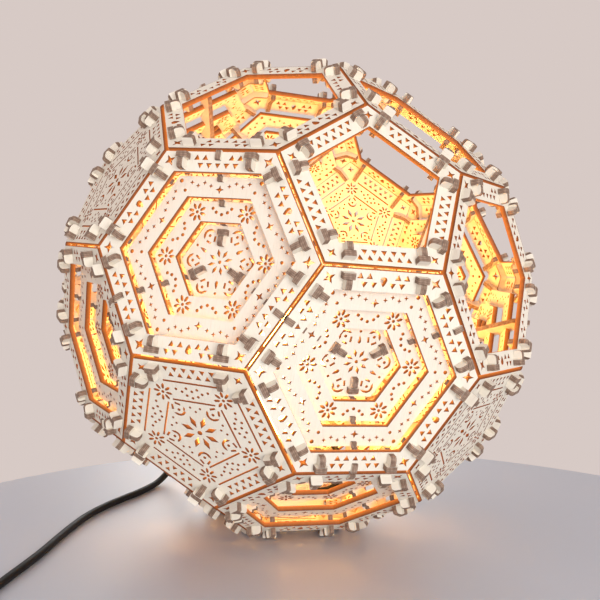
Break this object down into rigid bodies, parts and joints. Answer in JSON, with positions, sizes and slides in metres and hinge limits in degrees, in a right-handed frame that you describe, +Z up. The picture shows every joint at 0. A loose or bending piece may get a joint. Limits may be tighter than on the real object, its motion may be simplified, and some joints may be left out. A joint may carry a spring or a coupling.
{
  "type": "table lamp",
  "caption": "Table lamp with a ball-shaped shade of laser-cut plywood pentagons and hexagons around one bulb, some left as open frames, with a black cord, inline switch and plug.",
  "frame": {"origin": "on the standing surface, under the centre of the ball", "axes": "+Z up through the top pentagon; +X through the middle of the open upper pentagon upper_0; -Y is the front"},
  "size_m": [0.3586, 0.4432, 0.2903],
  "materials": {
    "birch_plywood": "sanded, laser-browned edges",
    "burnt_edge": "laser-cut edge, matt brown",
    "holder_bakelite": "moulded, satin white",
    "cap_metal": "bright",
    "opal_glass": "frosted, lit warm white",
    "gland_rubber": "matt black",
    "cord_jacket": "smooth black sheath",
    "moulded_black": "fine spark texture",
    "rocker_plastic": "semi-gloss black"
  },
  "bodies": {
    "shade": {"cable_gland": "gland_rubber", "cord_coil": "cord_jacket", "cord_lead": "cord_jacket", "cord_link": "cord_jacket", "cord_tail": "cord_jacket", "hexagon_crown_0": "birch_plywood", "hexagon_crown_1": "birch_plywood", "hexagon_crown_2": "birch_plywood", "hexagon_crown_3": "birch_plywood", "hexagon_crown_4": "birch_plywood", "hexagon_foot_0": "birch_plywood", "hexagon_foot_1": "birch_plywood", "hexagon_foot_2": "birch_plywood", "hexagon_foot_3": "birch_plywood", "hexagon_foot_4": "birch_plywood", "hexagon_shoulder_0": "birch_plywood", "hexagon_shoulder_1": "birch_plywood", "hexagon_shoulder_2": "birch_plywood", "hexagon_shoulder_3": "birch_plywood", "hexagon_shoulder_4": "birch_plywood", "hexagon_waist_0": "birch_plywood", "hexagon_waist_1": "birch_plywood", "hexagon_waist_2": "birch_plywood", "hexagon_waist_3": "birch_plywood", "hexagon_waist_4": "birch_plywood", "inner_lead": "cord_jacket", "lampholder": "holder_bakelite", "pentagon_base": "birch_plywood", "pentagon_lower_0": "birch_plywood", "pentagon_lower_1": "birch_plywood", "pentagon_lower_2": "birch_plywood", "pentagon_lower_3": "birch_plywood", "pentagon_lower_4": "birch_plywood", "pentagon_top": "birch_plywood", "pentagon_upper_0": "birch_plywood", "pentagon_upper_1": "birch_plywood", "pentagon_upper_2": "birch_plywood", "pentagon_upper_3": "birch_plywood", "pentagon_upper_4": "birch_plywood", "plug": "moulded_black", "rings_crown_1": "birch_plywood", "rings_crown_2": "birch_plywood", "rings_foot_0": "birch_plywood", "rings_foot_1": "birch_plywood", "rings_foot_2": "birch_plywood", "rings_foot_3": "birch_plywood", "rings_foot_4": "birch_plywood", "rings_shoulder_0": "birch_plywood", "rings_shoulder_1": "birch_plywood", "rings_shoulder_2": "birch_plywood", "rings_shoulder_3": "birch_plywood", "rings_waist_0": "birch_plywood", "rings_waist_1": "birch_plywood", "rings_waist_2": "birch_plywood", "rings_waist_3": "birch_plywood", "rings_waist_4": "birch_plywood", "switch_body": "moulded_black"},
    "bulb": {"bulb_cap": "cap_metal", "bulb_globe": "opal_glass"},
    "rocker": {"switch_rocker": "rocker_plastic"}
  },
  "joints": [
    {"name": "bulb_turn", "type": "hinge", "parent": "shade", "child": "bulb", "pos_m": [0, 0, 0.04], "axis": [0, 0, 1], "range_deg": [0, 720]},
    {"name": "switch_rock", "type": "hinge", "parent": "shade", "child": "rocker", "pos_m": [-0.135, -0.201, 0.0145], "axis": [1, 0, 0], "range_deg": [0, 14]}
  ]
}
